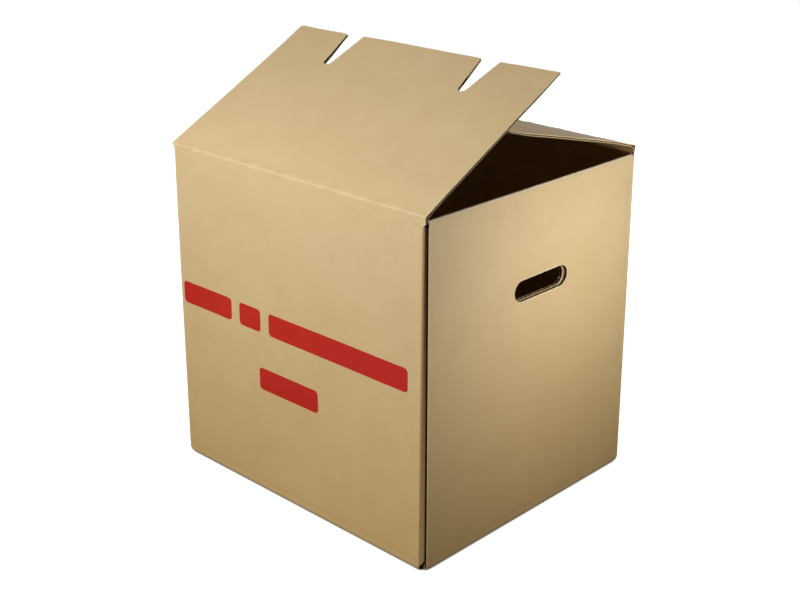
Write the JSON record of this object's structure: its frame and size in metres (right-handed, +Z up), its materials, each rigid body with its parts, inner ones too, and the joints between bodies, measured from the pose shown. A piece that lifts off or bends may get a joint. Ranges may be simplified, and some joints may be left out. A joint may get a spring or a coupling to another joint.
{
  "type": "open cardboard box",
  "caption": "Open corrugated cardboard carton with slotted, doubled end walls and two notched lids resting part open.",
  "frame": {"origin": "centre of the base, on the surface that the box stands on", "axes": "+Z up, -Y out of the printed front wall, +X towards the end wall on the right"},
  "size_m": [0.4, 0.35, 0.5048],
  "materials": {
    "corrugated_board": "matte"
  },
  "bodies": {
    "box_body": {"box_body": "corrugated_board"},
    "front_lid": {"front_lid": "corrugated_board"},
    "rear_lid": {"rear_lid": "corrugated_board"}
  },
  "joints": [
    {"name": "front_lid_crease", "type": "hinge", "parent": "box_body", "child": "front_lid", "pos_m": [0, -0.175, 0.3944], "axis": [1, 0, 0], "range_deg": [0, 240]},
    {"name": "rear_lid_crease", "type": "hinge", "parent": "box_body", "child": "rear_lid", "pos_m": [0, 0.175, 0.3988], "axis": [-1, 0, 0], "range_deg": [-14.6, 0]}
  ]
}
